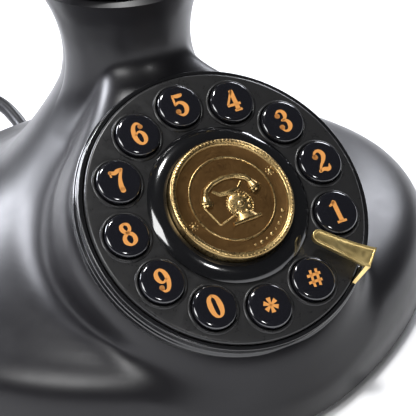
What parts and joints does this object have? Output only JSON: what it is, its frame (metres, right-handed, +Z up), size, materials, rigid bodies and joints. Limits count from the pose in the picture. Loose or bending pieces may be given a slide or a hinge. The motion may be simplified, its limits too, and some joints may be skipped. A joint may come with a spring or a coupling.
{
  "type": "cradle telephone",
  "caption": "Table telephone with a flared one-piece body, a round push-button dial with a brass medallion, a cradle with brass forks and a handset on a curly cord.",
  "frame": {"origin": "on the surface the feet stand on, in the middle of the telephone's outline without its cord", "axes": "+Z up; the dial faces -Y; the handset lies along X, its mouthpiece at -X"},
  "size_m": [0.2401, 0.2552, 0.1845],
  "materials": {
    "body_shell": "polished black moulding, semi-gloss",
    "cradle_shell": "polished black moulding, semi-gloss",
    "handset_shell": "polished black moulding, semi-gloss",
    "handset_cap": "polished black moulding",
    "base_plastic": "fine grain black moulding",
    "foot_rubber": "matt black rubber",
    "screw_steel": "zinc plated steel",
    "bezel_plastic": "polished black moulding",
    "faceplate_plastic": "satin black moulding",
    "hub_plastic": "high gloss black moulding",
    "antique_brass": "antique finish, dark in the hollows and rubbed bright on the edges",
    "polished_brass": "polished",
    "key_plastic": "black key under a clear glossy face with an orange gold character",
    "silicone_rubber": "translucent grey, matt",
    "board_laminate": "green solder resist",
    "fork_brass": "polished",
    "collar_brass": "polished",
    "mechanism_plastic": "plain moulding",
    "plunger_brass": "polished",
    "mechanism_steel": "zinc plated",
    "spring_steel": "drawn wire",
    "capsule_metal": "pressed can, satin",
    "switch_plastic": "plain moulding",
    "ballast_steel": "raw plate",
    "gong_brass": "satin",
    "striker_brass": "satin",
    "coil_copper": "enamelled copper winding",
    "jack_plastic": "plain moulding",
    "plug_plastic": "black moulding",
    "cord_jacket": "satin black jacket",
    "boot_rubber": "matt black"
  },
  "bodies": {
    "base": {"housing": "body_shell", "base_plate": "base_plastic", "dial_bezel": "bezel_plastic", "dial_faceplate": "faceplate_plastic", "hub_ring": "hub_plastic", "medallion": "antique_brass", "finger_stop": "polished_brass", "keypad_membrane": "silicone_rubber", "keypad_board": "board_laminate", "cradle_yoke": "cradle_shell", "cradle_fork_left": "fork_brass", "cradle_fork_right": "fork_brass", "hook_spring": "spring_steel", "hook_bracket": "mechanism_steel", "main_board": "board_laminate", "hook_switch": "switch_plastic", "ballast_weight": "ballast_steel", "ringer_gong": "gong_brass", "ringer_coil": "coil_copper", "handset_jack": "jack_plastic", "line_jack": "jack_plastic", "cord_plug": "plug_plastic", "cord_tail_base": "cord_jacket", "cord_curl": "cord_jacket", "cord_tail_handset": "cord_jacket", "foot_front_left": "foot_rubber", "screw_front_left": "screw_steel", "foot_front_right": "foot_rubber", "screw_front_right": "screw_steel", "foot_rear_left": "foot_rubber", "screw_rear_left": "screw_steel", "foot_rear_right": "foot_rubber", "screw_rear_right": "screw_steel"},
    "key_1": {"button_1": "key_plastic"},
    "key_2": {"button_2": "key_plastic"},
    "key_3": {"button_3": "key_plastic"},
    "key_4": {"button_4": "key_plastic"},
    "key_5": {"button_5": "key_plastic"},
    "key_6": {"button_6": "key_plastic"},
    "key_7": {"button_7": "key_plastic"},
    "key_8": {"button_8": "key_plastic"},
    "key_9": {"button_9": "key_plastic"},
    "key_0": {"button_0": "key_plastic"},
    "key_star": {"button_star": "key_plastic"},
    "key_hash": {"button_hash": "key_plastic"},
    "hook_carriage": {"hook_bridge": "mechanism_plastic", "hook_plunger_left": "plunger_brass", "hook_plunger_right": "plunger_brass", "push_rod": "mechanism_steel"},
    "lever": {"hook_lever": "mechanism_plastic"},
    "handset": {"handset_handle": "handset_shell", "handset_collar_left": "collar_brass", "handset_collar_right": "collar_brass", "mouth_cap": "handset_cap", "ear_cap": "handset_cap", "microphone_capsule": "capsule_metal", "receiver_capsule": "capsule_metal", "cord_boot": "boot_rubber"},
    "volume_switch": {"ringer_switch": "switch_plastic"},
    "striker": {"ringer_striker": "striker_brass"}
  },
  "joints": [
    {"name": "press_1", "type": "slide", "parent": "base", "child": "key_1", "axis": [0, 0.6428, -0.766], "range_m": [0, 0.0016], "stiffness_N_per_m": 350, "springref_m": -0.0008},
    {"name": "press_2", "type": "slide", "parent": "base", "child": "key_2", "axis": [0, 0.6428, -0.766], "range_m": [0, 0.0016], "stiffness_N_per_m": 350, "springref_m": -0.0008},
    {"name": "press_3", "type": "slide", "parent": "base", "child": "key_3", "axis": [0, 0.6428, -0.766], "range_m": [0, 0.0016], "stiffness_N_per_m": 350, "springref_m": -0.0008},
    {"name": "press_4", "type": "slide", "parent": "base", "child": "key_4", "axis": [0, 0.6428, -0.766], "range_m": [0, 0.0016], "stiffness_N_per_m": 350, "springref_m": -0.0008},
    {"name": "press_5", "type": "slide", "parent": "base", "child": "key_5", "axis": [0, 0.6428, -0.766], "range_m": [0, 0.0016], "stiffness_N_per_m": 350, "springref_m": -0.0008},
    {"name": "press_6", "type": "slide", "parent": "base", "child": "key_6", "axis": [0, 0.6428, -0.766], "range_m": [0, 0.0016], "stiffness_N_per_m": 350, "springref_m": -0.0008},
    {"name": "press_7", "type": "slide", "parent": "base", "child": "key_7", "axis": [0, 0.6428, -0.766], "range_m": [0, 0.0016], "stiffness_N_per_m": 350, "springref_m": -0.0008},
    {"name": "press_8", "type": "slide", "parent": "base", "child": "key_8", "axis": [0, 0.6428, -0.766], "range_m": [0, 0.0016], "stiffness_N_per_m": 350, "springref_m": -0.0008},
    {"name": "press_9", "type": "slide", "parent": "base", "child": "key_9", "axis": [0, 0.6428, -0.766], "range_m": [0, 0.0016], "stiffness_N_per_m": 350, "springref_m": -0.0008},
    {"name": "press_0", "type": "slide", "parent": "base", "child": "key_0", "axis": [0, 0.6428, -0.766], "range_m": [0, 0.0016], "stiffness_N_per_m": 350, "springref_m": -0.0008},
    {"name": "press_star", "type": "slide", "parent": "base", "child": "key_star", "axis": [0, 0.6428, -0.766], "range_m": [0, 0.0016], "stiffness_N_per_m": 350, "springref_m": -0.0008},
    {"name": "press_hash", "type": "slide", "parent": "base", "child": "key_hash", "axis": [0, 0.6428, -0.766], "range_m": [0, 0.0016], "stiffness_N_per_m": 350, "springref_m": -0.0008},
    {"name": "handset_lift", "type": "slide", "parent": "base", "child": "handset", "axis": [0, 0, 1], "range_m": [0, 0.12]},
    {"name": "hook_rise", "type": "slide", "parent": "base", "child": "hook_carriage", "axis": [0, 0, 1], "range_m": [0, 0.006], "deforming": ["hook_spring"]},
    {"name": "lever_turn", "type": "hinge", "parent": "base", "child": "lever", "pos_m": [0, 0.023, 0.03], "axis": [-1, 0, 0], "range_deg": [0, 12]},
    {"name": "ringer_volume", "type": "slide", "parent": "base", "child": "volume_switch", "axis": [1, 0, 0], "range_m": [-0.0025, 0.0025]},
    {"name": "striker_swing", "type": "hinge", "parent": "base", "child": "striker", "pos_m": [-0.031, -0.012, 0.014], "axis": [0, 0, 1], "range_deg": [-4, 4.5], "stiffness_Nm_per_rad": 0.01}
  ],
  "couplings": [
    {"joint": "hook_rise", "follows": "handset_lift", "ratio": 0.05},
    {"joint": "lever_turn", "follows": "handset_lift", "rad_per_m": 1.7453}
  ]
}
